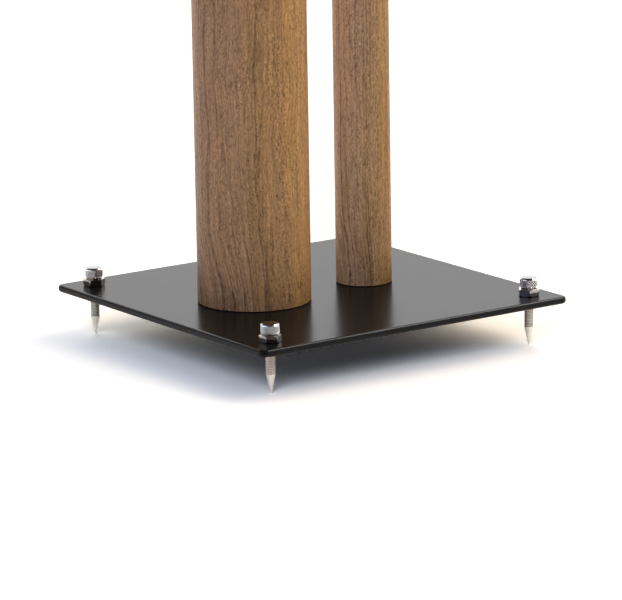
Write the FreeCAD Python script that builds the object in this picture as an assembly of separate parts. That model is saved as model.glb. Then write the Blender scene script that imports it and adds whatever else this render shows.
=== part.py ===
import FreeCAD, Part

import math
import os

from FreeCAD import Vector

# Speaker stand with a flat steel base on four adjustable spikes, a thick walnut
# column in front, a slim one behind it and a steel top plate.
# Millimetres. +Z is up, -Y is the front and +X the right-hand side.
# The origin lies on the floor under the middle of the base plate.

# ---- driving dimensions: plates -------------------------------------------------
STAND_HEIGHT = 600.0          # floor to the upper face of the top plate

BASE_WIDTH = 300.0
BASE_DEPTH = 300.0
BASE_THICKNESS = 6.0
BASE_CORNER_RADIUS = 6.0
BASE_FLOOR_GAP = 35.0         # floor to the underside of the base plate

TOP_WIDTH = 180.0
TOP_DEPTH = 230.0
TOP_THICKNESS = 5.0
TOP_CORNER_RADIUS = 6.0

PLATE_EDGE_ROUND = 2.4

# ---- driving dimensions: columns ------------------------------------------------
MAIN_COLUMN_DIAMETER = 92.0   # outside of the wood
MAIN_SLEEVE_WALL = 6.0
MAIN_TUBE_WALL = 3.0
MAIN_COLUMN_Y = -54.5

REAR_COLUMN_DIAMETER = 46.0
REAR_SLEEVE_WALL = 4.0
REAR_TUBE_WALL = 2.5
REAR_COLUMN_Y = 54.5

SLEEVE_END_GAP = 0.5          # the wood stops short of the plates, the steel tube touches them
GLUE_GAP = 0.1
PLUG_THICKNESS = 14.0
WELD_GAP = 0.05

# ---- driving dimensions: countersunk socket screws ------------------------------
SCREW_DIAMETER = 6.0
SCREW_LENGTH = 16.0
SCREW_HEAD_DIAMETER = 11.4
SCREW_HEAD_RIM = 0.3
SCREW_SOCKET_FLATS = 4.0
SCREW_SOCKET_DEPTH = 2.2
SCREW_HEAD_RECESS = 0.2
SCREW_CLEARANCE = 0.2
THREAD_CLEARANCE = 0.05
MAIN_SCREW_COUNT = 3
MAIN_SCREW_CIRCLE = 46.0
REAR_SCREW_COUNT = 2
REAR_SCREW_CIRCLE = 18.0

# ---- driving dimensions: spikes, lock nuts and knobs ----------------------------
SPIKE_INSET = 23.0            # spike axis to the plate's edge, both ways
STUD_DIAMETER = 8.0
STUD_RUNNING_GAP = 0.05
CONE_LENGTH = 15.0
CONE_BASE_DIAMETER = 7.8
TIP_DIAMETER = 1.8
TIP_BEVEL = 0.3
STUD_TOP_BEVEL = 0.8

NUT_FLATS = 16.0
NUT_HEIGHT = 6.2
NUT_FACE_DIAMETER = 15.0
NUT_BEVEL_ANGLE = 30.0

KNOB_DIAMETER = 15.0
KNOB_HEIGHT = 8.9
KNOB_TOP_ROUND = 2.0
KNOB_BOTTOM_BEVEL = 1.2
KNOB_ROOF = 2.4               # metal left above the blind hole
KNOB_SEAT_GAP = 0.2
KNOB_END_GAP = 0.3

# ---- driving dimensions: rubber bumpers under the loudspeaker -------------------
BUMPER_DIAMETER = 16.0
BUMPER_HEIGHT = 2.0
BUMPER_BEVEL = 0.4
BUMPER_INSET = 18.0

# Corner name, side in X, side in Y, and how far its lock nut is turned in degrees.
CORNERS = [
    ("front_left", -1, -1, 5.0),
    ("front_right", 1, -1, 6.0),
    ("rear_left", -1, 1, 17.0),
    ("rear_right", 1, 1, 28.0),
]

# ---- levels that follow from the sizes above ------------------------------------
BASE_TOP_Z = BASE_FLOOR_GAP + BASE_THICKNESS
TOP_UNDERSIDE_Z = STAND_HEIGHT - TOP_THICKNESS
COLUMN_LENGTH = TOP_UNDERSIDE_Z - BASE_TOP_Z
KNOB_BOTTOM_Z = BASE_TOP_Z + NUT_HEIGHT + KNOB_SEAT_GAP
KNOB_BORE_DEPTH = KNOB_HEIGHT - KNOB_ROOF
STUD_TOP_Z = KNOB_BOTTOM_Z + KNOB_BORE_DEPTH - KNOB_END_GAP
STUD_HOLE_RADIUS = STUD_DIAMETER / 2 + STUD_RUNNING_GAP
SCREW_CONE_HEIGHT = (SCREW_HEAD_DIAMETER - SCREW_DIAMETER) / 2
CUT_OVERRUN = 1.0             # how far a cutting shape runs past the faces it cuts

UP = Vector(0, 0, 1)


def export(shape, node):
    """Write one sub-part under its own name."""
    shape.exportStep("parts/" + node + ".step")


def grouped(shapes):
    """Several separate solids that share a node."""
    return Part.makeCompound(shapes)


def cylinder(radius, height, x, y, z):
    return Part.makeCylinder(radius, height, Vector(x, y, z), UP)


def through_hole(radius, height, x, y, z):
    """What a round hole takes out of a body that stands from z to z + height."""
    return cylinder(radius, height + 2 * CUT_OVERRUN, x, y, z - CUT_OVERRUN)


def blind_hole(radius, depth, x, y, z):
    """What a round hole takes out of a body, from its lower face at z upwards."""
    return cylinder(radius, depth + CUT_OVERRUN, x, y, z - CUT_OVERRUN)


def turned(profile):
    """A solid of revolution about Z from (radius, height) points."""
    points = [Vector(radius, 0, height) for radius, height in profile]
    outline = Part.makePolygon(points + points[:1])
    return Part.Face(outline).revolve(Vector(0, 0, 0), UP, 360)


def hexagon(flats, height, z, turn=0.0):
    """A hexagonal prism with a corner at the given angle from +X."""
    corner_radius = flats / math.sqrt(3)
    points = []
    for step in range(7):
        angle = math.radians(60 * step + turn)
        points.append(Vector(corner_radius * math.cos(angle), corner_radius * math.sin(angle), z))
    return Part.Face(Part.makePolygon(points)).extrude(UP * height)


def rounded_plate(width, depth, thickness, corner_radius, z):
    """A flat plate with rounded corners and softened upper and lower edges."""
    block = Part.makeBox(width, depth, thickness, Vector(-width / 2, -depth / 2, z))
    upright = [edge for edge in block.Edges if edge.BoundBox.ZLength > thickness / 2]
    plate = block.makeFillet(corner_radius, upright)
    rim = [edge for edge in plate.Edges if edge.BoundBox.ZLength < thickness / 2]
    edge_round = min(PLATE_EDGE_ROUND, 0.4 * thickness)
    return plate.makeFillet(edge_round, rim)


def corner_point(width, depth, inset, side_x, side_y):
    """A point set in from one corner of a plate that is centred on the origin."""
    return side_x * (width / 2 - inset), side_y * (depth / 2 - inset)


def screw_points(count, circle, column_y):
    """Screw centres, evenly spaced on a circle about a column's axis."""
    points = []
    for step in range(count):
        angle = 2 * math.pi * step / count
        points.append((circle / 2 * math.sin(angle), column_y - circle / 2 * math.cos(angle)))
    return points


def countersunk_screw():
    """A screw along Z whose head's flat face is at height zero and whose tip points up."""
    radius = SCREW_DIAMETER / 2
    head_radius = SCREW_HEAD_DIAMETER / 2
    tip_bevel = radius / 4
    head_cone_end = SCREW_HEAD_RIM + SCREW_CONE_HEIGHT
    body = turned([
        (0, 0),
        (head_radius, 0),
        (head_radius, SCREW_HEAD_RIM),
        (radius, head_cone_end),
        (radius, SCREW_LENGTH - tip_bevel),
        (radius - tip_bevel, SCREW_LENGTH),
        (0, SCREW_LENGTH),
    ])
    return body.cut(hexagon(SCREW_SOCKET_FLATS, SCREW_SOCKET_DEPTH, 0))


def countersunk_hole(thickness):
    """What a screw's hole takes out of a plate whose outer face is at height zero."""
    radius = SCREW_DIAMETER / 2 + SCREW_CLEARANCE
    head_radius = SCREW_HEAD_DIAMETER / 2 + SCREW_CLEARANCE
    rim_end = SCREW_HEAD_RECESS + SCREW_HEAD_RIM
    return turned([
        (0, -CUT_OVERRUN),
        (head_radius, -CUT_OVERRUN),
        (head_radius, rim_end),
        (radius, rim_end + head_radius - radius),
        (radius, thickness + CUT_OVERRUN),
        (0, thickness + CUT_OVERRUN),
    ])


def from_below(shape, x, y, face_z):
    """Place a screw or its hole upwards from a plate's lower face."""
    placed = shape.copy()
    placed.translate(Vector(x, y, face_z))
    return placed


def from_above(shape, x, y, face_z):
    """Place a screw or its hole downwards from a plate's upper face."""
    placed = shape.copy()
    placed.rotate(Vector(0, 0, 0), Vector(1, 0, 0), 180)
    placed.translate(Vector(x, y, face_z))
    return placed


MAIN_SCREWS = screw_points(MAIN_SCREW_COUNT, MAIN_SCREW_CIRCLE, MAIN_COLUMN_Y)
REAR_SCREWS = screw_points(REAR_SCREW_COUNT, REAR_SCREW_CIRCLE, REAR_COLUMN_Y)


def make_base_plate():
    plate = rounded_plate(BASE_WIDTH, BASE_DEPTH, BASE_THICKNESS, BASE_CORNER_RADIUS, BASE_FLOOR_GAP)
    cuts = []
    for name, side_x, side_y, nut_turn in CORNERS:
        x, y = corner_point(BASE_WIDTH, BASE_DEPTH, SPIKE_INSET, side_x, side_y)
        cuts.append(through_hole(STUD_HOLE_RADIUS, BASE_THICKNESS, x, y, BASE_FLOOR_GAP))
    for x, y in MAIN_SCREWS + REAR_SCREWS:
        cuts.append(from_below(countersunk_hole(BASE_THICKNESS), x, y, BASE_FLOOR_GAP))
    export(plate.cut(cuts), "base_plate")


def make_top_plate():
    plate = rounded_plate(TOP_WIDTH, TOP_DEPTH, TOP_THICKNESS, TOP_CORNER_RADIUS, TOP_UNDERSIDE_Z)
    cuts = []
    for x, y in MAIN_SCREWS + REAR_SCREWS:
        cuts.append(from_above(countersunk_hole(TOP_THICKNESS), x, y, STAND_HEIGHT))
    export(plate.cut(cuts), "top_plate")


def make_plug(name, radius, screws, column_y, z):
    """A steel disc welded inside a tube's end, tapped for the screws."""
    plug = cylinder(radius, PLUG_THICKNESS, 0, column_y, z)
    tapped_radius = SCREW_DIAMETER / 2 + THREAD_CLEARANCE
    holes = [through_hole(tapped_radius, PLUG_THICKNESS, x, y, z) for x, y in screws]
    export(plug.cut(holes), name)


def make_column(name, diameter, sleeve_wall, tube_wall, column_y, screws):
    """A walnut sleeve glued on a steel tube, with a tapped disc in each end of the tube."""
    sleeve_bore = diameter / 2 - sleeve_wall
    tube_radius = sleeve_bore - GLUE_GAP
    tube_bore = tube_radius - tube_wall
    sleeve_length = COLUMN_LENGTH - 2 * SLEEVE_END_GAP
    sleeve_z = BASE_TOP_Z + SLEEVE_END_GAP
    sleeve = cylinder(diameter / 2, sleeve_length, 0, column_y, sleeve_z)
    sleeve = sleeve.cut(through_hole(sleeve_bore, sleeve_length, 0, column_y, sleeve_z))
    export(sleeve, name + "_column_sleeve")
    tube = cylinder(tube_radius, COLUMN_LENGTH, 0, column_y, BASE_TOP_Z)
    tube = tube.cut(through_hole(tube_bore, COLUMN_LENGTH, 0, column_y, BASE_TOP_Z))
    export(tube, name + "_column_tube")
    plug_radius = tube_bore - WELD_GAP
    make_plug(name + "_lower_plug", plug_radius, screws, column_y, BASE_TOP_Z)
    make_plug(name + "_upper_plug", plug_radius, screws, column_y, TOP_UNDERSIDE_Z - PLUG_THICKNESS)


def make_screws(name, points):
    """The screws of one column: one group under the base plate, one in the top plate."""
    screw = countersunk_screw()
    lower_z = BASE_FLOOR_GAP + SCREW_HEAD_RECESS
    upper_z = STAND_HEIGHT - SCREW_HEAD_RECESS
    export(grouped([from_below(screw, x, y, lower_z) for x, y in points]), name + "_base_screws")
    export(grouped([from_above(screw, x, y, upper_z) for x, y in points]), name + "_top_screws")


def make_spike(corner, x, y):
    """A threaded stud with a blunt cone below, standing on the floor."""
    radius = STUD_DIAMETER / 2
    cone_radius = CONE_BASE_DIAMETER / 2
    tip_radius = TIP_DIAMETER / 2
    spike = turned([
        (0, 0),
        (tip_radius - TIP_BEVEL, 0),
        (tip_radius, TIP_BEVEL),
        (cone_radius, CONE_LENGTH),
        (radius, CONE_LENGTH + radius - cone_radius),
        (radius, STUD_TOP_Z - STUD_TOP_BEVEL),
        (radius - STUD_TOP_BEVEL, STUD_TOP_Z),
        (0, STUD_TOP_Z),
    ])
    spike.translate(Vector(x, y, 0))
    export(spike, "spike_" + corner)


def make_lock_nut(corner, x, y, nut_turn):
    """A hexagon nut bevelled on both faces, tight on the base plate."""
    face_radius = NUT_FACE_DIAMETER / 2
    corner_radius = NUT_FLATS / math.sqrt(3)
    bevel = (corner_radius - face_radius) * math.tan(math.radians(NUT_BEVEL_ANGLE))
    envelope = turned([
        (0, 0),
        (face_radius, 0),
        (corner_radius, bevel),
        (corner_radius, NUT_HEIGHT - bevel),
        (face_radius, NUT_HEIGHT),
        (0, NUT_HEIGHT),
    ])
    nut = hexagon(NUT_FLATS, NUT_HEIGHT, 0, nut_turn).common(envelope)
    nut = nut.cut(through_hole(STUD_HOLE_RADIUS, NUT_HEIGHT, 0, 0, 0))
    nut.translate(Vector(x, y, BASE_TOP_Z))
    export(nut, "lock_nut_" + corner)


def make_knob(corner, x, y):
    """A round cap on the stud's upper end, with a blind hole from below."""
    blank = cylinder(KNOB_DIAMETER / 2, KNOB_HEIGHT, 0, 0, 0)
    upper_edge = [edge for edge in blank.Edges if edge.BoundBox.ZMin > KNOB_HEIGHT / 2]
    knob = blank.makeFillet(KNOB_TOP_ROUND, upper_edge)
    lower_edge = [edge for edge in knob.Edges if edge.BoundBox.ZMax < KNOB_HEIGHT / 2]
    knob = knob.makeChamfer(KNOB_BOTTOM_BEVEL, lower_edge)
    knob = knob.cut(blind_hole(STUD_HOLE_RADIUS, KNOB_BORE_DEPTH, 0, 0, 0))
    knob.translate(Vector(x, y, KNOB_BOTTOM_Z))
    export(knob, "knob_" + corner)


def make_bumper(corner, x, y):
    """A low round rubber bumper on the top plate."""
    radius = BUMPER_DIAMETER / 2
    bumper = turned([
        (0, 0),
        (radius, 0),
        (radius, BUMPER_HEIGHT - BUMPER_BEVEL),
        (radius - BUMPER_BEVEL, BUMPER_HEIGHT),
        (0, BUMPER_HEIGHT),
    ])
    bumper.translate(Vector(x, y, STAND_HEIGHT))
    export(bumper, "bumper_" + corner)


os.makedirs("parts", exist_ok=True)

make_base_plate()
make_top_plate()
make_column("main", MAIN_COLUMN_DIAMETER, MAIN_SLEEVE_WALL, MAIN_TUBE_WALL, MAIN_COLUMN_Y, MAIN_SCREWS)
make_column("rear", REAR_COLUMN_DIAMETER, REAR_SLEEVE_WALL, REAR_TUBE_WALL, REAR_COLUMN_Y, REAR_SCREWS)
make_screws("main", MAIN_SCREWS)
make_screws("rear", REAR_SCREWS)

for corner, side_x, side_y, nut_turn in CORNERS:
    spike_x, spike_y = corner_point(BASE_WIDTH, BASE_DEPTH, SPIKE_INSET, side_x, side_y)
    make_spike(corner, spike_x, spike_y)
    make_lock_nut(corner, spike_x, spike_y, nut_turn)
    make_knob(corner, spike_x, spike_y)
    bumper_x, bumper_y = corner_point(TOP_WIDTH, TOP_DEPTH, BUMPER_INSET, side_x, side_y)
    make_bumper(corner, bumper_x, bumper_y)
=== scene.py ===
import math

import bmesh
import bpy
import numpy as np
from mathutils import Matrix, Vector


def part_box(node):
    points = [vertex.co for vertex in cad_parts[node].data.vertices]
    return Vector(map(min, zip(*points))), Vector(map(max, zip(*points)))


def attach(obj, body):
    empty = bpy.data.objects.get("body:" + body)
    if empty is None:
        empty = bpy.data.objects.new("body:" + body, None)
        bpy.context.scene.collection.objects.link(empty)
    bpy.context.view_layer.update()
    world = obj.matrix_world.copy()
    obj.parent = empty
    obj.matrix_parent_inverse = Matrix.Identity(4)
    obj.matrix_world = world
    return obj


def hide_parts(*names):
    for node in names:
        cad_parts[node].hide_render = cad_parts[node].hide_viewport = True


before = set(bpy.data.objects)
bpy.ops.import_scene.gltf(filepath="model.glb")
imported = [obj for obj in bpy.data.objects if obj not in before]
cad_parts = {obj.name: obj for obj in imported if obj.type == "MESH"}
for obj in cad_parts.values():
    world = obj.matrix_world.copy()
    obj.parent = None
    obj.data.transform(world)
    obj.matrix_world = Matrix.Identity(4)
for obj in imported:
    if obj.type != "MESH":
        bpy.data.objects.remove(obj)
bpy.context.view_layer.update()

# Looks of the speaker stand: turned walnut sleeves, a satin black coat on both
# plates, threaded spikes, knurled knobs, chamfered lock nuts and rubber bumpers.
# Metres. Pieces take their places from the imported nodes.
MM = 0.001
FULL_TURN = 2 * math.pi
CORNERS = ["front_left", "front_right", "rear_left", "rear_right"]

# ---- camera: where the photograph was taken from --------------------------------
CAMERA_AZIMUTH = 55.051
CAMERA_ELEVATION = 13.035
CAMERA_ROLL = -0.935
CAMERA_DISTANCE = 3.66955
CAMERA_TARGET = Vector((-0.00122, 0.00193, 0.03222))
CAMERA_LENS = 260.45
SENSOR_WIDTH = 36.0
NEAR_CLIP = 0.01
FAR_CLIP = 100.0

# ---- light ----------------------------------------------------------------------
WHITE = (1.0, 1.0, 1.0, 1.0)
SKY_COLOUR = (0.91, 1.0, 1.28, 1.0)
SKY_LEVEL = 0.22
CEILING_START = 0.34          # sine of the elevation at which the white backdrop ends
CEILING_END = 0.62
CEILING_LEVEL = 0.12          # how bright the studio's ceiling is in mirroring surfaces
ROOM_LEVEL = 0.14             # and the room behind the camera
ROOM_FADE = (0.05, 0.65)      # cosines of the angle to the camera over which that room dims
# Two bright patches of that room: how far to the right of the camera in degrees, the
# cosines over which each fades in, and how bright it is.
WINDOW = (-62.0, 0.80, 0.93, 1.35)
WINDOW_COLOUR = (0.64, 0.73, 1.0, 1.0)
BRIGHT_WALL = (85.0, 0.60, 0.90, 1.2)
SIDE_ELEVATION = 8.0
# Each lamp is a broad disc far away: azimuth, elevation, width in degrees, and its colour.
LAMPS = {
    "key_lamp": (165.0, 44.0, 60.0, (2.10, 1.74, 1.28)),
    "front_lamp": (45.0, 32.0, 24.0, (1.10, 1.21, 1.40)),
    "left_lamp": (255.0, 22.0, 60.0, (2.07, 1.93, 1.58)),
}
FLOOR_COLOUR = (0.86, 0.86, 0.86, 1.0)
FLOOR_SEEN_COLOUR = (1.33, 1.33, 1.33, 1.0)
FLOOR_MIRRORED_COLOUR = (1.55, 1.55, 1.55, 1.0)
FLOOR_REACH = 30.0
# Each panel is an upright lit sheet that only mirroring surfaces show: azimuth, distance,
# width, bottom and top height, and how bright it is at the bottom and at the top.
PANELS = {
    "backdrop_panel": (235.0, 2.5, 4.4, 0.0, 2.2, 2.1, 4.6),
    "edge_panel": (160.0, 1.6, 0.7, 1.5, 2.8, 30.0, 30.0),
}
PANEL_FADE = (0.2, 0.8)       # shares of a panel's height over which its brightness changes
QUARTER_TURN = 90.0
# Painted dark reflection: the floor shows dark only to mirroring surfaces, from this far towards the camera.
MIRRORED_DARK_REACH = (0.27, 0.33)      # metres towards the camera at which mirrored floor turns dark
MIRRORED_DARK_COLOUR = (0.18, 0.16, 0.14, 1.0)

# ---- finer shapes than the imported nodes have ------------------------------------
SMOOTH_ANGLE = 30.0           # degrees up to which neighbouring faces are shaded as one
MERGE_DISTANCE = 1e-7
SLIVER_DISTANCE = 1e-8

SLEEVE_SEGMENTS = 256
SLEEVE_EASE = 0.35 * MM
SLEEVE_EASE_STEPS = 4
SLEEVE_LENGTH_STEPS = 24
GLUE_GAP = 0.1 * MM           # between the wood and its steel tube

THREAD_PITCH = 1.25 * MM
THREAD_DEPTH = 0.60 * MM
THREAD_SEGMENTS = 64
THREAD_FADE_TOP = 1.0 * MM
THREAD_FADE_FOOT = 0.3 * MM
CREST_HALF = 1 / 8            # half of the flat crest, as a share of the pitch
ROOT_HALF = 1 / 16
THREAD_SMOOTH_ANGLE = 25.0
SHOULDER = 0.45 * MM
CONE_STEPS = 12
CONE_LENGTH = 15.0 * MM
CONE_TOP_RADIUS = 3.9 * MM
TIP_RADIUS = 0.9 * MM
TIP_BEVEL = 0.3 * MM
STUD_TOP_BEVEL = 0.8 * MM
STUD_BORE_RADIUS = 4.05 * MM  # of the knobs and the lock nuts

KNOB_BEVEL = 1.2 * MM
KNOB_ROUND = 2.0 * MM
KNURL_COUNT = 21              # grooves of each hand around the knob
KNURL_SLOPE = math.radians(45)
KNURL_DEPTH = 0.29 * MM
KNURL_FINENESS = 4            # mesh steps in half a knurl
KNURL_STEEPNESS = 3.0         # narrow grooves between wide diamonds
KNURL_CROWN = 0.28 * MM       # how far each diamond is domed
KNURL_FADE = 0.30 * MM
KNOB_DOME = 0.12 * MM
KNOB_DOME_SHARES = (0.8, 0.6, 0.4, 0.2, 0.05)
KNOB_ROUND_END = 82.0         # degrees at which the rounded rim goes over into the dome
KNOB_ROOF = 2.4 * MM          # solid metal over the bore
KNOB_ROOF_RADIUS = 0.2 * MM
ROUND_STEPS = 8

NUT_SEGMENTS = 144
NUT_SIDES = 6
NUT_APOTHEM = 8.0 * MM
NUT_FACE_RADIUS = 7.5 * MM
NUT_SMOOTH_ANGLE = 24.0
NUT_BEVEL_SLOPE = math.tan(math.radians(30))
NUT_EDGE_STEP = 0.09 * MM
NUT_EDGE_ROWS = 16
NUT_EDGE_SOFTNESS = 0.10 * MM
NUT_CORNER_CUT = 0.16 * MM

BUMPER_SEGMENTS = 72
BUMPER_ROUND = 0.7 * MM
BUMPER_ROUND_END = 84.0
BUMPER_FOOT = 0.2 * MM
BUMPER_DOME = 0.12 * MM
BUMPER_DOME_SHARES = (0.85, 0.6, 0.3, 0.05)
BUMPER_SMOOTH_ANGLE = 40.0


# ==== meshes =====================================================================
def mesh_piece(name, points, faces, smooth_angle=SMOOTH_ANGLE):
    """A mesh object in the row frame, with doubled points merged."""
    mesh = bpy.data.meshes.new(name)
    mesh.from_pydata([tuple(p) for p in points], [], faces)
    shape = bmesh.new()
    shape.from_mesh(mesh)
    bmesh.ops.remove_doubles(shape, verts=shape.verts, dist=MERGE_DISTANCE)
    bmesh.ops.dissolve_degenerate(shape, edges=shape.edges, dist=SLIVER_DISTANCE)
    bmesh.ops.recalc_face_normals(shape, faces=shape.faces)
    shape.to_mesh(mesh)
    shape.free()
    mesh.shade_smooth()
    mesh.set_sharp_from_angle(angle=math.radians(smooth_angle))
    piece = bpy.data.objects.new(name, mesh)
    bpy.context.scene.collection.objects.link(piece)
    return piece


def ring_faces(rows, segments, first=0):
    """Quads between neighbouring rings of equal size."""
    faces = []
    for row in range(rows - 1):
        low = first + row * segments
        high = low + segments
        for i in range(segments):
            j = (i + 1) % segments
            faces.append((low + i, low + j, high + j, high + i))
    return faces


def angles(segments):
    return np.arange(segments) * FULL_TURN / segments


def rings(radii, heights, centre, segments):
    """Points of rings about an upright axis; each radius or height may vary round the ring."""
    turn = angles(segments)
    points = []
    for radius, height in zip(radii, heights):
        r = np.broadcast_to(radius, segments)
        z = np.broadcast_to(height, segments)
        points.append(np.stack([centre[0] + r * np.cos(turn), centre[1] + r * np.sin(turn), z], axis=1))
    return np.concatenate(points)


def turned_piece(name, radii, heights, centre, segments, smooth_angle=SMOOTH_ANGLE, loop=False):
    """A turned body: a closed loop of rings, or a stack of rings with both ends capped."""
    points = rings(radii, heights, centre, segments)
    rows = len(radii)
    faces = ring_faces(rows, segments)
    if loop:
        last = (rows - 1) * segments
        for i in range(segments):
            j = (i + 1) % segments
            faces.append((last + i, last + j, j, i))
    else:
        faces.append(tuple(reversed(range(segments))))
        faces.append(tuple(range((rows - 1) * segments, rows * segments)))
    return mesh_piece(name, points, faces, smooth_angle)


def quarter_round(radius, start, end, steps):
    """Offsets (cosine, sine) times radius along an arc, angles in degrees."""
    turn = np.radians(np.linspace(start, end, steps + 1))
    return radius * np.cos(turn), radius * np.sin(turn)


def dome(radii, heights, top, shares):
    """Adds the rings of a shallow dome, from the last ring up to its top."""
    edge = radii[-1]
    lift = heights[-1]
    for share in shares:
        radii.append(edge * share)
        heights.append(lift + (top - lift) * (1 - share * share))


def middle(node):
    low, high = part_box(node)
    return (low + high) / 2


# ---- walnut sleeves -------------------------------------------------------------
def sleeve(column):
    """A wooden tube with its four end edges eased."""
    node = column + "_sleeve"
    low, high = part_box(node)
    tube_low, tube_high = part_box(column + "_tube")
    outer = (high.x - low.x) / 2
    inner = (tube_high.x - tube_low.x) / 2 + GLUE_GAP
    across, along = quarter_round(SLEEVE_EASE, 0.0, QUARTER_TURN, SLEEVE_EASE_STEPS)
    outside = outer - SLEEVE_EASE + across
    inside = inner + SLEEVE_EASE - across
    foot = low.z + SLEEVE_EASE - along
    top = high.z - SLEEVE_EASE + along
    straight = np.linspace(low.z + SLEEVE_EASE, high.z - SLEEVE_EASE, SLEEVE_LENGTH_STEPS)[1:-1]
    rows = len(straight)
    radii = [*outside[::-1], *[outer] * rows, *outside, *inside[::-1], *[inner] * rows, *inside]
    heights = [*foot[::-1], *straight, *top, *top[::-1], *straight[::-1], *foot]
    piece = turned_piece(column + "_walnut", radii, heights, middle(node), SLEEVE_SEGMENTS, loop=True)
    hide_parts(node)
    return piece


# ---- threaded spikes ------------------------------------------------------------
def thread_radius(phase, crest):
    """Radius at a share of the pitch from the middle of the crest."""
    away = np.abs((phase + 0.5) % 1.0 - 0.5)
    flank = (away - CREST_HALF) / (0.5 - ROOT_HALF - CREST_HALF)
    return crest - THREAD_DEPTH * np.clip(flank, 0.0, 1.0)


def thread(centre, crest, thread_low, thread_high):
    """Points and faces of a helical thread that fades out at both of its ends."""
    phases = [0.0, CREST_HALF, 0.5 - ROOT_HALF, 0.5, 0.5 + ROOT_HALF, 1 - CREST_HALF]
    turns = math.ceil((thread_high - thread_low) / THREAD_PITCH)
    steps = np.array([t + p for t in range(-1, turns + 1) for p in phases])
    share = np.arange(THREAD_SEGMENTS) / THREAD_SEGMENTS
    z = thread_low + THREAD_PITCH * (steps[:, None] + share[None, :])
    z = np.clip(z, thread_low, thread_high)
    phase = (z - thread_low) / THREAD_PITCH - share[None, :]
    fade = np.minimum((z - thread_low) / THREAD_FADE_FOOT, (thread_high - z) / THREAD_FADE_TOP)
    fade = np.clip(fade, 0.0, 1.0)
    radius = crest - (crest - thread_radius(phase, crest)) * fade
    turn = share * FULL_TURN
    x = centre.x + radius * np.cos(turn)[None, :]
    y = centre.y + radius * np.sin(turn)[None, :]
    points = np.stack([x, y, z], axis=2).reshape(-1, 3)
    rows = len(steps)
    faces = []
    for row in range(rows - 1):
        for i in range(THREAD_SEGMENTS):
            last = i == THREAD_SEGMENTS - 1
            beside = row + len(phases) if last else row
            if beside + 1 >= rows:
                continue
            j = 0 if last else i + 1
            faces.append((row * THREAD_SEGMENTS + i, beside * THREAD_SEGMENTS + j,
                          (beside + 1) * THREAD_SEGMENTS + j, (row + 1) * THREAD_SEGMENTS + i))
    return points, faces


def add_end(points, faces, radii, heights, centre):
    """Adds a stack of rings to the stud and closes it at its last ring."""
    first = len(points)
    faces += ring_faces(len(radii), THREAD_SEGMENTS, first)
    end = first + (len(radii) - 1) * THREAD_SEGMENTS
    faces.append(tuple(range(end, end + THREAD_SEGMENTS)))
    return np.concatenate([points, rings(radii, heights, centre, THREAD_SEGMENTS)])


def spike(corner):
    """A stud with a real helical thread, a shoulder and a turned cone with a blunt tip."""
    node = "spike_" + corner
    low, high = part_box(node)
    centre = middle(node)
    crest = (high.x - low.x) / 2
    cone_top = low.z + CONE_LENGTH
    thread_low = cone_top + SHOULDER
    thread_high = high.z - STUD_TOP_BEVEL
    points, faces = thread(centre, crest, thread_low, thread_high)
    cone_heights = np.linspace(cone_top, low.z + TIP_BEVEL, CONE_STEPS)
    cone_radii = np.linspace(CONE_TOP_RADIUS, TIP_RADIUS, CONE_STEPS)
    foot_radii = [crest, *cone_radii, TIP_RADIUS - TIP_BEVEL]
    points = add_end(points, faces, foot_radii, [thread_low, *cone_heights, low.z], centre)
    points = add_end(points, faces, [crest, crest - STUD_TOP_BEVEL], [thread_high, high.z], centre)
    piece = mesh_piece(node + "_threaded", points, faces, THREAD_SMOOTH_ANGLE)
    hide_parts(node)
    return piece


# ---- knurled knobs --------------------------------------------------------------
def saw(value):
    """A wave that is 0 at whole numbers and 1 half way between them."""
    return 1 - np.abs(2 * (value % 1.0) - 1)


def knurl_depth(turn, height, length, lead):
    """How deep each point round the knob lies, at a height above the foot of its knurl."""
    around = turn / FULL_TURN * KNURL_COUNT
    along = height / lead
    diamond = np.minimum(saw(around + along), saw(around - along))
    groove = 1 - np.minimum(diamond * KNURL_STEEPNESS, 1.0)
    fade = min(1.0, height / KNURL_FADE, (length - height) / KNURL_FADE)
    return (KNURL_DEPTH * groove + KNURL_CROWN * (1 - diamond)) * fade


def knob(corner):
    """A cap nut with a diamond knurl, a rounded top and a bevelled foot."""
    node = "knob_" + corner
    low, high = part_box(node)
    outer = (high.x - low.x) / 2
    segments = KNURL_COUNT * 2 * KNURL_FINENESS
    turn = angles(segments)
    roof = high.z - KNOB_ROOF
    knurl_low = low.z + KNOB_BEVEL
    knurl_high = high.z - KNOB_DOME - KNOB_ROUND
    length = knurl_high - knurl_low
    lead = FULL_TURN * outer / KNURL_COUNT / math.tan(KNURL_SLOPE)
    rows = round(length / lead * 2 * KNURL_FINENESS)
    radii = [KNOB_ROOF_RADIUS, STUD_BORE_RADIUS, STUD_BORE_RADIUS, outer - KNOB_BEVEL]
    heights = [roof, roof, low.z, low.z]
    for z in np.linspace(knurl_low, knurl_high, rows + 1):
        radii.append(outer - knurl_depth(turn, z - knurl_low, length, lead))
        heights.append(z)
    across, along = quarter_round(KNOB_ROUND, 0.0, KNOB_ROUND_END, ROUND_STEPS)
    radii += list(outer - KNOB_ROUND + across[1:])
    heights += list(knurl_high + along[1:])
    dome(radii, heights, high.z, KNOB_DOME_SHARES)
    piece = turned_piece(node + "_knurled", radii, heights, middle(node), segments)
    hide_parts(node)
    return piece


# ---- lock nuts ------------------------------------------------------------------
def soft_least(a, b, softness):
    """The smaller of two values, rounded where they meet."""
    blend = np.clip(0.5 + 0.5 * (b - a) / softness, 0.0, 1.0)
    return b + (a - b) * blend - softness * blend * (1 - blend)


def hexagon_turn(node, centre):
    """Angle of one corner of a hexagonal node."""
    points = [v.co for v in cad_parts[node].data.vertices]
    far = max(points, key=lambda p: (p.x - centre.x) ** 2 + (p.y - centre.y) ** 2)
    return math.atan2(far.y - centre.y, far.x - centre.x)


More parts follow.
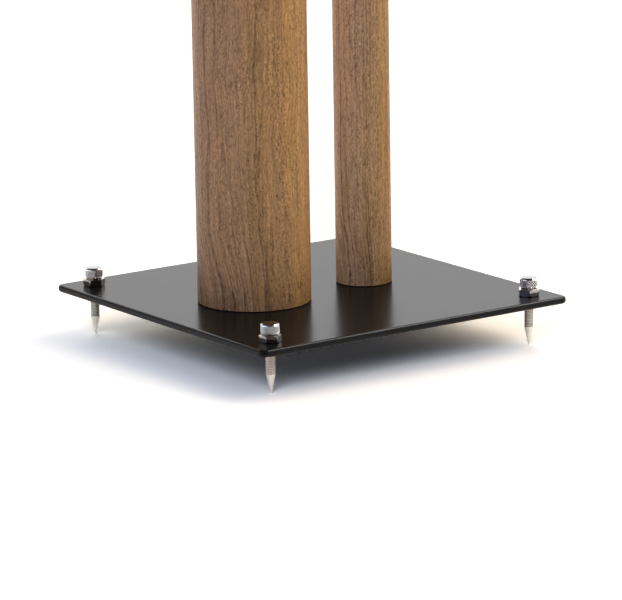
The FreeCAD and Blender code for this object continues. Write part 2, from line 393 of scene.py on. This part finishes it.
def lock_nut(corner):
    """A hexagon nut turned down at both faces, so that each corner ends in a curved bevel."""
    node = "lock_nut_" + corner
    low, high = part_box(node)
    centre = middle("spike_" + corner)
    side = FULL_TURN / NUT_SIDES
    from_flat = (angles(NUT_SEGMENTS) - hexagon_turn(node, centre)) % side - side / 2
    tip = NUT_APOTHEM / math.cos(side / 2) - NUT_CORNER_CUT
    hexagon = soft_least(NUT_APOTHEM / np.cos(from_flat), tip, NUT_EDGE_SOFTNESS)
    up = np.arange(NUT_EDGE_ROWS + 1) * NUT_EDGE_STEP
    rows = [*(low.z + up), *(high.z - up[::-1])]
    radii = [STUD_BORE_RADIUS]
    for z in rows:
        cone = NUT_FACE_RADIUS + min(z - low.z, high.z - z) / NUT_BEVEL_SLOPE
        radii.append(soft_least(hexagon, cone, NUT_EDGE_SOFTNESS))
    radii.append(STUD_BORE_RADIUS)
    heights = [low.z, *rows, high.z]
    piece = turned_piece(node + "_turned", radii, heights, centre, NUT_SEGMENTS, NUT_SMOOTH_ANGLE, loop=True)
    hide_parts(node)
    return piece


# ---- rubber bumpers -------------------------------------------------------------
def bumper(corner):
    """A low rubber disc with a soft shoulder."""
    node = "bumper_" + corner
    low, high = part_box(node)
    outer = (high.x - low.x) / 2
    across, along = quarter_round(BUMPER_ROUND, 0.0, BUMPER_ROUND_END, ROUND_STEPS)
    radii = [outer - BUMPER_FOOT, outer, *(outer - BUMPER_ROUND + across)]
    heights = [low.z, low.z + BUMPER_FOOT, *(high.z - BUMPER_DOME - BUMPER_ROUND + along)]
    dome(radii, heights, high.z, BUMPER_DOME_SHARES)
    piece = turned_piece(node + "_domed", radii, heights, middle(node), BUMPER_SEGMENTS, BUMPER_SMOOTH_ANGLE)
    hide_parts(node)
    return piece


# ==== materials ==================================================================
MIX_FACTOR = 0                # sockets of a colour Mix node
MIX_A = 6
MIX_B = 7
MIX_RESULT = 2


class Finish:
    """One node material, put together by short calls that return output sockets."""

    def __init__(self, name):
        self.material = bpy.data.materials.new(name)
        self.material.use_nodes = True
        self.tree = self.material.node_tree
        self.tree.nodes.clear()

    @classmethod
    def over(cls, tree):
        """The same helper on a node tree that is already there."""
        made = cls.__new__(cls)
        made.tree = tree
        tree.nodes.clear()
        return made

    def add(self, kind, inputs=None, output=0, **settings):
        """A new node; inputs are other nodes' sockets or plain values, settings its own options."""
        made = self.tree.nodes.new("ShaderNode" + kind)
        for key, value in settings.items():
            setattr(made, key, value)
        for key, value in (inputs or {}).items():
            if isinstance(value, bpy.types.NodeSocket):
                self.tree.links.new(value, made.inputs[key])
            else:
                made.inputs[key].default_value = value
        return made.outputs[output] if made.outputs else made

    def math(self, operation, a, b=0.0):
        return self.add("Math", {0: a, 1: b}, operation=operation)

    def vector(self, operation, a, b=(0.0, 0.0, 0.0), output=0):
        return self.add("VectorMath", {0: a, 1: b}, output, operation=operation)

    def scaled(self, vector, factor):
        return self.add("VectorMath", {0: vector, "Scale": factor}, operation="SCALE")

    def place(self):
        """A point of the surface in the row frame, in millimetres."""
        return self.scaled(self.add("TexCoord", output="Object"), 1 / MM)

    def noise(self, vector, across, along, detail=2.0, roughness=0.5):
        """Noise whose grains are that many millimetres across, and along the upright axis."""
        sized = self.vector("DIVIDE", vector, (across, across, along))
        return self.add("TexNoise", {"Vector": sized, "Scale": 1.0, "Detail": detail,
                                     "Roughness": roughness})

    def span(self, value, low, high, to_low=0.0, to_high=1.0):
        """A smooth step of value from low to high."""
        return self.add("MapRange", {"Value": value, "From Min": low, "From Max": high,
                                     "To Min": to_low, "To Max": to_high}, interpolation_type="SMOOTHSTEP")

    def linear(self, value, low, high, to_low=0.0, to_high=1.0):
        return self.add("MapRange", {"Value": value, "From Min": low, "From Max": high,
                                     "To Min": to_low, "To Max": to_high}, clamp=True)

    def swing(self, value, amount):
        """A noise value turned into a swing about zero."""
        return self.math("MULTIPLY", self.math("SUBTRACT", value, 0.5), amount)

    def sum(self, *values):
        total = values[0]
        for value in values[1:]:
            total = self.math("ADD", total, value)
        return total

    def bell(self, value, centre, width):
        """A soft bump of height one about centre."""
        away = self.math("DIVIDE", self.math("SUBTRACT", value, centre), width)
        return self.math("EXPONENT", self.math("MULTIPLY", self.math("MULTIPLY", away, away), -1.0))

    def mix(self, factor, a, b):
        """A colour between a and b; a colour Mix node has its sockets at these places."""
        made = {MIX_FACTOR: factor, MIX_A: a, MIX_B: b}
        return self.add("Mix", made, MIX_RESULT, data_type="RGBA")

    def bump(self, height, distance, strength):
        return self.add("Bump", {"Height": height, "Distance": distance, "Strength": strength})

    def surface(self, **inputs):
        """The shader itself; names with underscores stand for the socket names."""
        named = {key.replace("_", " "): value for key, value in inputs.items()}
        shader = self.add("BsdfPrincipled", named)
        self.add("OutputMaterial", {"Surface": shader})
        return self.material


# ---- walnut ---------------------------------------------------------------------
GRAIN_FRONT = math.radians(CAMERA_AZIMUTH)      # the side of the columns that the streaks are counted from
GREY_BROWN = (0.345, 0.190, 0.098, 1.0)
# A paler, cooler brown for the rear column: painted cool light in place of the light that the main column
# blocks.
COOL_LIT_BROWN = (0.350, 0.215, 0.122, 1.0)
GOLDEN_BROWN = (0.455, 0.241, 0.072, 1.0)
DARK_FIGURE = (0.120, 0.064, 0.040, 1.0)
PORE_COLOUR = (0.052, 0.029, 0.015, 1.0)

# How light each column's wood is, how much painted light it gets on its left, how golden, and its greyer
# tone. The rear column's lighter tone, lighter left and paler, cooler brown are painted light in place of
# the light that the main column blocks.
COLUMN_TONES_AND_LIGHT = {
    "main_column": (-0.03, 0.0, 0.42, GREY_BROWN),
    "rear_column": (0.09, 0.34, 0.42, COOL_LIT_BROWN),
}

# The grain stands upright and leans near the foot: heights in millimetres, lean in radians.
LEAN_START = 112.0
LEAN_END = 41.0
LEAN_MIDDLE = 0.22
LEAN_SIDE = 0.28

# Noises of the wood: size across and along the grain in millimetres, detail and roughness.
WOOD_NOISE = {
    "slow_wander": (45.0, 70.0, 1.0, 0.5),
    "quick_wander": (9.0, 24.0, 2.0, 0.5),
    "ripple": (2.6, 5.5, 1.0, 0.5),
    "broad": (14.0, 190.0, 2.0, 0.5),
    "narrow": (3.0, 110.0, 2.0, 0.6),
    "hair": (1.3, 45.0, 1.0, 0.5),
    "fibre": (1.0, 4.8, 2.0, 0.6),
    "curl": (1.35, 2.0, 1.0, 0.6),
    "curl_patch": (11.0, 60.0, 1.0, 0.5),
    "ring": (17.0, 300.0, 1.0, 0.5),
    "break": (2.0, 9.0, 2.0, 0.5),
    "pore_patch": (6.0, 70.0, 1.0, 0.5),
    "pore": (0.88, 3.1, 1.0, 0.5),
}
SLOW_WANDER = 0.30            # radians round the column
QUICK_WANDER = 0.09
RIPPLE = 3.4                  # millimetres round the column
TONE = 1.03
TONE_SWING = {"narrow": 0.80, "hair": 0.65, "fibre": 1.30, "curl": 1.30}
FOOT_SHADE = (78.0, 41.0, 0.0, -0.10)           # from and to a height, from and to a tone
# The golden right side of each column is partly the wood's tone and partly painted warm light.
GOLDEN_AND_LIT_SIDE = math.radians(14)
GOLDEN_AND_LIT_SWING = 0.62
GOLDEN_PATCHES = 0.9
RING_COUNT = 15.0
RING_SHARPNESS = 3.0
RING_DEPTH = 0.50
BROAD_FIGURE = (0.56, 0.80, 0.0, 0.28)          # from and to a noise value, from and to a depth
NARROW_FIGURE = (0.54, 0.76, 0.0, 0.30)
FIGURE_BREAKS = (0.32, 0.62, 0.60, 1.12)
FIGURE_FOOT = (120.0, 50.0, 0.80, 1.30)         # the figure is darker near the foot
CURL_PATCHES = (0.42, 0.60)
LIT_LEFT_BALANCE = 0.25
PORE_LIMIT = (0.3, 0.7, 0.57, 0.47)             # lower, so more pores, inside a patch
PORE_EDGE = 0.16
PORE_DEPTH = 0.42
WOOD_ROUGHNESS = 0.50
PORE_ROUGHNESS = 0.2
FIBRE_ROUGHNESS = 0.12
FIBRE_RELIEF = 0.5
WOOD_BUMP = (0.06 * MM, 0.5)                    # depth and strength
WOOD_GLOSS = 0.2

# Dark streaks: angle from the front in degrees, half width in degrees and depth.
STREAK_WIDTH = 0.85
STREAK_DEPTH = 1.10
STREAKS = [
    (-59.0, 1.6, 0.35),
    (-50.0, 2.4, 0.62),
    (-36.0, 1.3, 0.40),
    (-22.0, 1.1, 0.34),
    (-11.0, 1.0, 0.34),
    (5.0, 1.0, 0.62),
    (9.5, 4.0, 0.20),
    (18.0, 0.9, 0.22),
    (34.0, 1.0, 0.18),
    (52.0, 1.4, 0.20),
    (78.0, 3.0, 0.40),
    (96.0, 1.2, 0.30),
    (112.0, 1.8, 0.55),
    (150.0, 3.0, 0.35),
    (172.0, 1.2, 0.35),
    (-80.0, 1.3, 0.30),
    (-96.0, 1.8, 0.50),
    (-128.0, 3.0, 0.36),
    (-150.0, 1.2, 0.40),
    (-163.0, 1.8, 0.50),
]


def unroll(f, turn, rim, height):
    """The place on an upright cylinder at an angle in radians and a height."""
    return f.add("CombineXYZ", {0: f.math("MULTIPLY", f.math("COSINE", turn), rim),
                                1: f.math("MULTIPLY", f.math("SINE", turn), rim), 2: height})


def round_column(f, centre):
    """Place from a column's axis, angle from its front towards its right, and height."""
    place = f.vector("SUBTRACT", f.place(), (centre.x / MM, centre.y / MM, 0.0))
    across_way = (math.cos(GRAIN_FRONT), math.sin(GRAIN_FRONT), 0.0)
    front_way = (math.sin(GRAIN_FRONT), -math.cos(GRAIN_FRONT), 0.0)
    across = f.vector("DOT_PRODUCT", place, across_way, output="Value")
    towards = f.vector("DOT_PRODUCT", place, front_way, output="Value")
    return place, f.math("ARCTAN2", across, towards), f.add("SeparateXYZ", {0: place}, output="Z")


def grain_angle(f, place, angle, height):
    """The angle that the grain has at mid height: it leans at the foot and wanders a little."""
    share = f.math("SUBTRACT", LEAN_MIDDLE, f.math("MULTIPLY", f.math("SINE", angle), LEAN_SIDE))
    lean = f.math("MULTIPLY", f.span(height, LEAN_START, LEAN_END), share)
    slow = f.swing(f.noise(place, *WOOD_NOISE["slow_wander"]), SLOW_WANDER)
    quick = f.swing(f.noise(place, *WOOD_NOISE["quick_wander"]), QUICK_WANDER)
    return f.math("ADD", f.math("SUBTRACT", angle, lean), f.math("ADD", slow, quick))


def dark_figure(f, grain, height, unrolled, rippled, broad, narrow):
    """Growth rings, each ending in a sharp line, and streaks, broken up along the grain."""
    ring = f.math("MULTIPLY", f.noise(unrolled, *WOOD_NOISE["ring"]), RING_COUNT)
    ring = f.math("POWER", f.math("FRACT", ring), RING_SHARPNESS)
    figure = f.sum(f.span(broad, *BROAD_FIGURE), f.span(narrow, *NARROW_FIGURE),
                   f.math("MULTIPLY", ring, RING_DEPTH))
    for degrees, width, depth in STREAKS:
        line = f.bell(grain, math.radians(degrees), math.radians(width * STREAK_WIDTH))
        figure = f.math("ADD", figure, f.math("MULTIPLY", line, depth * STREAK_DEPTH))
    broken = f.linear(f.noise(rippled, *WOOD_NOISE["break"]), *FIGURE_BREAKS)
    return f.math("MULTIPLY", f.math("MULTIPLY", figure, broken), f.span(height, *FIGURE_FOOT))


def pores(f, unrolled, rippled):
    """Short open dashes along the grain, closer together in some bands."""
    limit = f.linear(f.noise(unrolled, *WOOD_NOISE["pore_patch"]), *PORE_LIMIT)
    dash = f.noise(rippled, *WOOD_NOISE["pore"])
    return f.span(f.math("SUBTRACT", dash, limit), 0.0, PORE_EDGE)


def walnut(name, centre, radius, lift, painted_left_light, golden_share, grey):
    """Oiled walnut: upright figure that leans near the foot, fine fibres and short open pores."""
    f = Finish(name)
    place, angle, height = round_column(f, centre)
    grain = grain_angle(f, place, angle, height)
    rim = radius / MM
    unrolled = unroll(f, grain, rim, height)
    ripple = f.swing(f.noise(unrolled, *WOOD_NOISE["ripple"]), RIPPLE / rim)
    rippled = unroll(f, f.math("ADD", grain, ripple), rim, height)
    broad = f.noise(unrolled, *WOOD_NOISE["broad"])
    narrow = f.noise(unrolled, *WOOD_NOISE["narrow"])
    hair = f.noise(unrolled, *WOOD_NOISE["hair"])
    fibre = f.noise(rippled, *WOOD_NOISE["fibre"])
    curl = f.noise(rippled, *WOOD_NOISE["curl"])
    curl_share = f.span(f.noise(unrolled, *WOOD_NOISE["curl_patch"]), *CURL_PATCHES)

    # colour: a greyer left and a golden right, partly the wood's own tone and partly painted warm light on
    # the right side, then the dark figure
    golden_and_lit = f.math("SINE", f.math("SUBTRACT", grain, GOLDEN_AND_LIT_SIDE))
    golden_and_lit = f.sum(f.math("MULTIPLY", golden_and_lit, GOLDEN_AND_LIT_SWING), f.swing(broad, GOLDEN_PATCHES), golden_share)
    base = f.mix(f.span(golden_and_lit, 0.0, 1.0), grey, GOLDEN_BROWN)
    figure = dark_figure(f, grain, height, unrolled, rippled, broad, narrow)
    base = f.mix(f.linear(figure, 0.0, 1.0), base, DARK_FIGURE)

    # tone: fibres and hairlines, the painted shade at the foot and the painted light on the left
    left = f.math("SUBTRACT", LIT_LEFT_BALANCE, f.math("SINE", angle))
    tone = f.sum(TONE + lift, f.swing(narrow, TONE_SWING["narrow"]), f.swing(hair, TONE_SWING["hair"]),
                 f.swing(fibre, TONE_SWING["fibre"]), f.span(height, *FOOT_SHADE),
                 f.math("MULTIPLY", f.swing(curl, TONE_SWING["curl"]), curl_share),
                 f.math("MULTIPLY", left, painted_left_light))
    pore = pores(f, unrolled, rippled)
    base = f.mix(f.math("MULTIPLY", pore, PORE_DEPTH), f.scaled(base, tone), PORE_COLOUR)
    relief = f.sum(f.math("MULTIPLY", pore, -1.0), f.swing(fibre, FIBRE_RELIEF))
    rough = f.sum(WOOD_ROUGHNESS, f.math("MULTIPLY", pore, PORE_ROUGHNESS), f.swing(fibre, FIBRE_ROUGHNESS))
    return f.surface(Base_Color=base, Roughness=rough, Specular_IOR_Level=WOOD_GLOSS,
                     Normal=f.bump(relief, *WOOD_BUMP))


# ---- metal, coat and rubber -----------------------------------------------------
# Noises of the other surfaces: size across and along the upright axis in millimetres, and detail.
SURFACE_NOISE = {
    "peel": (0.9, 0.9, 2.0),
    "grit": (0.28, 0.28, 1.0),
    "cloud": (40.0, 40.0, 3.0),
    "speck": (1.3, 1.3, 0.0),
    "haze": (3.0, 3.0, 3.0),
    "drawn": (0.6, 60.0, 3.0),
    "stain": (18.0, 30.0, 4.0),
    "mottle": (2.0, 2.0, 4.0),
    "oxide_grain": (0.2, 0.2, 1.0),
    "mould_grain": (0.35, 0.35, 2.0),
    "bloom": (4.0, 4.0, 3.0),
}
COAT_DARK = (0.0052, 0.0050, 0.0050, 1.0)
COAT_LIGHT = (0.0080, 0.0076, 0.0074, 1.0)
COAT_SPECK = (0.05, 0.048, 0.046, 1.0)
COAT_SPECKS = (0.80, 0.86, 0.0, 0.5)            # from and to a noise value, from and to a share
COAT_ROUGHNESS = 0.235
COAT_UNEVENNESS = 0.05
COAT_IOR = 1.5
PEEL_RELIEF = 0.6
GRIT_RELIEF = 0.4
COAT_BUMP = (0.012 * MM, 0.6)                   # depth and strength
COAT_GLOSS = (0.40, 0.78, 0.10, 0.028)          # from and to a facing, from and to a specular level

THREAD_SHADE = (0.05, 0.45, 0.0, 0.62)          # from and to a depth in millimetres, darkening
THREAD_SHADE_START = (15.2, 16.0)               # millimetres above the tip
# Painted shade on the knobs: grooves, rim and top face.
KNURL_SHADE = (0.21, 0.43, 0.0, 0.78)
KNURL_SHADE_EDGE = 0.3
RIM_SHADE = (0.4, 1.2, 0.0, 0.45)               # millimetres above the knurl, darkening
TOP_SHADE = (1.5, 1.9, 0.0, 0.43)

STEEL_BRIGHT = (0.46, 0.46, 0.47, 1.0)
STEEL_STAIN = (0.36, 0.35, 0.34, 1.0)
STEEL_ROUGHNESS = (0.34, 0.2, 0.1)              # in all, and how far stains and draw marks swing it
STEEL_BUMP = (0.01 * MM, 0.5)
OXIDE_DARK = (0.030, 0.030, 0.032, 1.0)
OXIDE_LIGHT = (0.055, 0.052, 0.050, 1.0)
OXIDE_ROUGHNESS = (0.36, 0.2)                   # in all, and how far the mottle swings it
OXIDE_METALLIC = 0.6
OXIDE_BUMP = (0.006 * MM, 0.4)
RUBBER_DARK = (0.020, 0.020, 0.021, 1.0)
RUBBER_BLOOM = (0.040, 0.039, 0.038, 1.0)
RUBBER_ROUGHNESS = (0.72, 0.15)                 # in all, and how far the grain swings it
RUBBER_GLOSS = 0.35
RUBBER_BUMP = (0.02 * MM, 0.6)

# Platings: colour, roughness, spacing of the turning marks in millimetres, metallic.
NICKEL = ((0.82, 0.76, 0.66, 1.0), 0.24, 0.10, 0.7)
BRIGHT_CHROME = ((0.84, 0.81, 0.78, 1.0), 0.07, 0.16, 1.0)
# The lock nuts' chrome is darkened: painted shade for the black plate that they mirror.
SHADED_CHROME = ((0.30, 0.275, 0.26, 1.0), 0.09, 0.16, 1.0)
TURNING_MARK_WIDTH = 60.0
HAZE_LOSS = 0.86
HAZE_ROUGHNESS = 0.10
MARK_ROUGHNESS = 0.08
PLATING_BUMP = (0.004 * MM, 0.5)


def powder_coat(name):
    """Satin black powder coat with a very fine orange-peel texture."""
    f = Finish(name)
    place = f.place()
    peel = f.noise(place, *SURFACE_NOISE["peel"])
    grit = f.noise(place, *SURFACE_NOISE["grit"])
    cloud = f.noise(place, *SURFACE_NOISE["cloud"])
    speck = f.span(f.noise(place, *SURFACE_NOISE["speck"]), *COAT_SPECKS)
    colour = f.mix(speck, f.mix(cloud, COAT_DARK, COAT_LIGHT), COAT_SPECK)
    rough = f.sum(COAT_ROUGHNESS, f.swing(cloud, COAT_UNEVENNESS), f.swing(peel, COAT_UNEVENNESS))
    relief = f.sum(f.math("MULTIPLY", peel, PEEL_RELIEF), f.math("MULTIPLY", grit, GRIT_RELIEF))
    facing = f.add("LayerWeight", {"Blend": 0.5}, output="Facing")
    return f.surface(Base_Color=colour, Roughness=rough, IOR=COAT_IOR, Normal=f.bump(relief, *COAT_BUMP),
                     Specular_IOR_Level=f.span(facing, *COAT_GLOSS))


def depth_and_height(f, node):
    """How deep a point lies under a round node's outside, and its height, in millimetres."""
    low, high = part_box(node)
    centre = middle(node)
    away = f.vector("SUBTRACT", f.place(), (centre.x / MM, centre.y / MM, 0.0))
    radius = f.vector("LENGTH", f.vector("MULTIPLY", away, (1.0, 1.0, 0.0)), output="Value")
    height = f.add("SeparateXYZ", {0: f.place()}, output="Z")
    return f.math("SUBTRACT", (high.x - low.x) / 2 / MM, radius), height


def thread_shade(f, corner):
    """Darker roots between the crests of the stud's thread, above the cone."""
    node = "spike_" + corner
    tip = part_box(node)[0].z / MM
    depth, height = depth_and_height(f, node)
    root = f.span(depth, *THREAD_SHADE)
    stud = f.span(height, *(tip + start for start in THREAD_SHADE_START))
    return f.math("SUBTRACT", 1.0, f.math("MULTIPLY", root, stud))


def knurl_shade(f, corner):
    """Painted shade: darker grooves between the diamonds of the knob, and a darker rim and top face that dim
    what they mirror.
    """
    node = "knob_" + corner
    low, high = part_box(node)
    depth, height = depth_and_height(f, node)
    foot = (low.z + KNOB_BEVEL) / MM
    head = (high.z - KNOB_DOME - KNOB_ROUND) / MM
    above = f.math("SUBTRACT", height, head)
    band = f.math("MULTIPLY", f.span(height, foot, foot + KNURL_SHADE_EDGE),
                  f.span(above, 0.0, -KNURL_SHADE_EDGE))
    groove = f.math("MULTIPLY", f.span(depth, *KNURL_SHADE), band)
    loss = f.sum(groove, f.span(above, *RIM_SHADE), f.span(above, *TOP_SHADE))
    return f.math("SUBTRACT", 1.0, loss)


def plated(name, colour, roughness, mark_size, metallic, shade=None, corner=None):
    """Bright plating over a turned surface: faint rings, hairlines and uneven polish."""
    f = Finish(name)
    place = f.place()
    turned = f.noise(place, TURNING_MARK_WIDTH, mark_size)
    haze = f.noise(place, *SURFACE_NOISE["haze"])
    hazy = tuple(c * HAZE_LOSS for c in colour[:3]) + (1.0,)
    tint = f.mix(haze, colour, hazy)
    # Painted shade: thread roots, or knurl grooves, rim and top face, darken the plating.
    if shade:
        tint = f.scaled(tint, shade(f, corner))
    rough = f.sum(roughness, f.swing(haze, HAZE_ROUGHNESS), f.swing(turned, MARK_ROUGHNESS))
    return f.surface(Base_Color=tint, Metallic=metallic, Roughness=rough,
                     Normal=f.bump(turned, *PLATING_BUMP))


def drawn_steel(name):
    """Plain drawn tube and sawn discs, with long draw marks and a little dullness."""
    f = Finish(name)
    place = f.place()
    drawn = f.noise(place, *SURFACE_NOISE["drawn"])
    stain = f.noise(place, *SURFACE_NOISE["stain"])
    roughness, by_stain, by_marks = STEEL_ROUGHNESS
    rough = f.sum(roughness, f.swing(stain, by_stain), f.swing(drawn, by_marks))
    return f.surface(Base_Color=f.mix(stain, STEEL_BRIGHT, STEEL_STAIN), Metallic=1.0, Roughness=rough,
                     Normal=f.bump(drawn, *STEEL_BUMP))


def black_oxide(name):
    """Blackened screws: dark metal with a faint oily mottle."""
    f = Finish(name)
    place = f.place()
    mottle = f.noise(place, *SURFACE_NOISE["mottle"])
    grain = f.noise(place, *SURFACE_NOISE["oxide_grain"])
    roughness, by_mottle = OXIDE_ROUGHNESS
    rough = f.sum(roughness, f.swing(mottle, by_mottle))
    return f.surface(Base_Color=f.mix(mottle, OXIDE_DARK, OXIDE_LIGHT), Metallic=OXIDE_METALLIC,
                     Roughness=rough, Normal=f.bump(grain, *OXIDE_BUMP))


def rubber(name):
    """Matt moulded rubber with a bloom in the middle and a fine mould grain."""
    f = Finish(name)
    place = f.place()
    grain = f.noise(place, *SURFACE_NOISE["mould_grain"])
    bloom = f.noise(place, *SURFACE_NOISE["bloom"])
    roughness, by_grain = RUBBER_ROUGHNESS
    rough = f.sum(roughness, f.swing(grain, by_grain))
    return f.surface(Base_Color=f.mix(bloom, RUBBER_DARK, RUBBER_BLOOM), Roughness=rough,
                     Specular_IOR_Level=RUBBER_GLOSS, Normal=f.bump(grain, *RUBBER_BUMP))


def paint(piece, material):
    piece.data.materials.clear()
    piece.data.materials.append(material)


# ==== stage, light and camera ====================================================
def direction(azimuth, elevation):
    """Unit vector from the object towards a place at that azimuth and elevation, in degrees."""
    a = math.radians(azimuth)
    e = math.radians(elevation)
    return Vector((math.sin(a) * math.cos(e), -math.cos(a) * math.cos(e), math.sin(e)))


def make_floor():
    """A wide white floor that keeps the shadow and can be seen through from below."""
    mesh = bpy.data.meshes.new("studio_floor")
    reach = FLOOR_REACH
    mesh.from_pydata([(-reach, -reach, 0), (reach, -reach, 0), (reach, reach, 0), (-reach, reach, 0)],
                     [], [(0, 1, 2, 3)])
    floor = bpy.data.objects.new("studio_floor", mesh)
    bpy.context.scene.collection.objects.link(floor)
    f = Finish("floor_white")
    seen = f.add("LightPath", output="Is Camera Ray")
    mirrored = f.add("LightPath", output="Is Glossy Ray")
    to_camera = direction(CAMERA_AZIMUTH, 0)
    towards = f.vector("DOT_PRODUCT", f.add("TexCoord", output="Object"), to_camera, output="Value")
    # Painted dark reflection: as mirrored, the floor turns dark towards the camera, though it is white there
    # when seen.
    reflected = f.mix(f.span(towards, *MIRRORED_DARK_REACH), FLOOR_MIRRORED_COLOUR, MIRRORED_DARK_COLOUR)
    colour = f.mix(seen, f.mix(mirrored, FLOOR_COLOUR, reflected), FLOOR_SEEN_COLOUR)
    matt = f.add("BsdfDiffuse", {"Color": colour})
    clear = f.add("BsdfTransparent")
    below = f.add("NewGeometry", output="Backfacing")
    shader = f.add("MixShader", {0: below, 1: matt, 2: clear})
    f.add("OutputMaterial", {"Surface": shader})
    paint(floor, f.material)


def mirrored_side(f, to_right, start, end, level):
    """A soft bright patch of the world: its share at each direction, and its light."""
    way = direction(CAMERA_AZIMUTH + to_right, SIDE_ELEVATION)
    near = f.vector("DOT_PRODUCT", f.add("TexCoord", output="Generated"), way, output="Value")
    share = f.span(near, start, end)
    return share, f.math("MULTIPLY", share, level)


def make_world():
    """White where it is seen or mirrored near the horizon; a lower sky as light.

    Mirroring surfaces show the white backdrop and, above it, the darker ceiling.
    """
    world = bpy.data.worlds.new("studio_world")
    bpy.context.scene.world = world
    world.use_nodes = True
    f = Finish.over(world.node_tree)
    seen = f.add("LightPath", output="Is Camera Ray")
    mirrored = f.add("LightPath", output="Is Glossy Ray")
    through = f.add("LightPath", output="Is Transmission Ray")
    height = f.add("SeparateXYZ", {0: f.add("TexCoord", output="Generated")}, output="Z")
    wall = f.span(height, CEILING_START, CEILING_END, 1.0, CEILING_LEVEL)
    to_camera = direction(CAMERA_AZIMUTH, 0)
    towards = f.vector("DOT_PRODUCT", f.add("TexCoord", output="Generated"), to_camera, output="Value")
    wall = f.math("MULTIPLY", wall, f.span(towards, *ROOM_FADE, 1.0, ROOM_LEVEL))
    window, window_light = mirrored_side(f, *WINDOW)
    wall = f.sum(wall, window_light, mirrored_side(f, *BRIGHT_WALL)[1])
    tint = f.mix(f.math("MULTIPLY", window, mirrored), WHITE, WINDOW_COLOUR)
    shown = f.math("MAXIMUM", f.math("MAXIMUM", seen, through), f.math("MULTIPLY", mirrored, wall))
    background = f.math("MAXIMUM", f.math("MAXIMUM", seen, through), mirrored)
    sky = f.add("Background", {"Color": SKY_COLOUR, "Strength": SKY_LEVEL})
    backdrop = f.add("Background", {"Color": tint, "Strength": shown})
    f.add("OutputWorld", {"Surface": f.add("MixShader", {0: background, 1: sky, 2: backdrop})})


def make_lamps():
    """Broad soft lamps: high at the right behind, in front, and low at the left behind."""
    for name, (azimuth, elevation, width, strength) in LAMPS.items():
        lamp = bpy.data.lights.new(name, "SUN")
        lamp.energy = max(strength)
        lamp.color = [s / max(strength) for s in strength]
        lamp.angle = math.radians(width)
        holder = bpy.data.objects.new(name, lamp)
        bpy.context.scene.collection.objects.link(holder)
        holder.visible_glossy = False
        holder.rotation_mode = "QUATERNION"
        holder.rotation_quaternion = direction(azimuth, elevation).to_track_quat("Z", "Y")


def lit_sheet(name, bottom, top, low_level, high_level):
    """A light that changes from a low to a high level over a sheet's height."""
    f = Finish(name)
    height = f.add("SeparateXYZ", {0: f.add("TexCoord", output="Object")}, output="Z")
    start, end = (bottom + (top - bottom) * share for share in PANEL_FADE)
    level = f.span(height, start, end, low_level, high_level)
    f.add("OutputMaterial", {"Surface": f.add("Emission", {"Color": WHITE, "Strength": level})})
    return f.material


def make_panels():
    """Lit sheets behind and beside the object that only mirroring surfaces show."""
    for name, (azimuth, distance, width, bottom, top, low_level, high_level) in PANELS.items():
        side = direction(azimuth + QUARTER_TURN, 0) * (width / 2)
        foot = direction(azimuth, 0) * distance + Vector((0, 0, bottom))
        rise = Vector((0, 0, top - bottom))
        corners = [foot - side, foot + side, foot + side + rise, foot - side + rise]
        mesh = bpy.data.meshes.new(name)
        mesh.from_pydata(corners, [], [(0, 1, 2, 3)])
        panel = bpy.data.objects.new(name, mesh)
        bpy.context.scene.collection.objects.link(panel)
        paint(panel, lit_sheet(name + "_light", bottom, top, low_level, high_level))
        panel.visible_camera = False
        panel.visible_diffuse = False
        panel.visible_shadow = False
        panel.visible_transmission = False


def make_camera():
    lens = bpy.data.cameras.new("camera")
    lens.lens = CAMERA_LENS
    lens.sensor_width = SENSOR_WIDTH
    lens.clip_start = NEAR_CLIP
    lens.clip_end = FAR_CLIP
    camera = bpy.data.objects.new("camera", lens)
    bpy.context.scene.collection.objects.link(camera)
    back = direction(CAMERA_AZIMUTH, CAMERA_ELEVATION)
    level_right = Vector((0, 0, 1)).cross(back).normalized()
    level_up = back.cross(level_right)
    roll = math.radians(CAMERA_ROLL)
    right = math.cos(roll) * level_right + math.sin(roll) * level_up
    up = math.cos(roll) * level_up - math.sin(roll) * level_right
    turned = Matrix((right, up, back)).transposed().to_4x4()
    camera.matrix_world = Matrix.Translation(CAMERA_TARGET + back * CAMERA_DISTANCE) @ turned
    bpy.context.scene.camera = camera


# ==== assembly ===================================================================
def add_columns():
    for column, tones_and_light in COLUMN_TONES_AND_LIGHT.items():
        low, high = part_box(column + "_sleeve")
        piece = sleeve(column)
        paint(piece, walnut(column + "_wood", (low + high) / 2, (high.x - low.x) / 2, *tones_and_light))
        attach(piece, "stand")


def add_corner_parts():
    shaded_chrome = plated("lock_nut_chrome", *SHADED_CHROME)
    pad = rubber("bumper_rubber")
    for corner in CORNERS:
        nickel = plated("nickel_" + corner, *NICKEL, thread_shade, corner)
        knurled = plated("knurled_chrome_" + corner, *BRIGHT_CHROME, knurl_shade, corner)
        for piece, material, slot, body in (
            (spike(corner), nickel, "nickel", "spike_" + corner),
            (knob(corner), knurled, "chrome", "knob_" + corner),
            (lock_nut(corner), shaded_chrome, "chrome", "lock_nut_" + corner),
            (bumper(corner), pad, "bumper_rubber", "stand"),
        ):
            paint(piece, material)
            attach(piece, body)


def paint_kept_nodes():
    """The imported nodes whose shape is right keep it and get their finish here."""
    coat = powder_coat("black_powder_coat")
    steel = drawn_steel("drawn_steel")
    oxide = black_oxide("black_oxide")
    for node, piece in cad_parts.items():
        if node.endswith("_plate"):
            paint(piece, coat)
        elif node.endswith("_screws"):
            paint(piece, oxide)
        elif node.endswith(("_tube", "_plug")):
            paint(piece, steel)


add_columns()
add_corner_parts()
paint_kept_nodes()
make_floor()
make_world()
make_lamps()
make_panels()
make_camera()

scene = bpy.context.scene
scene.view_settings.view_transform = "Standard"
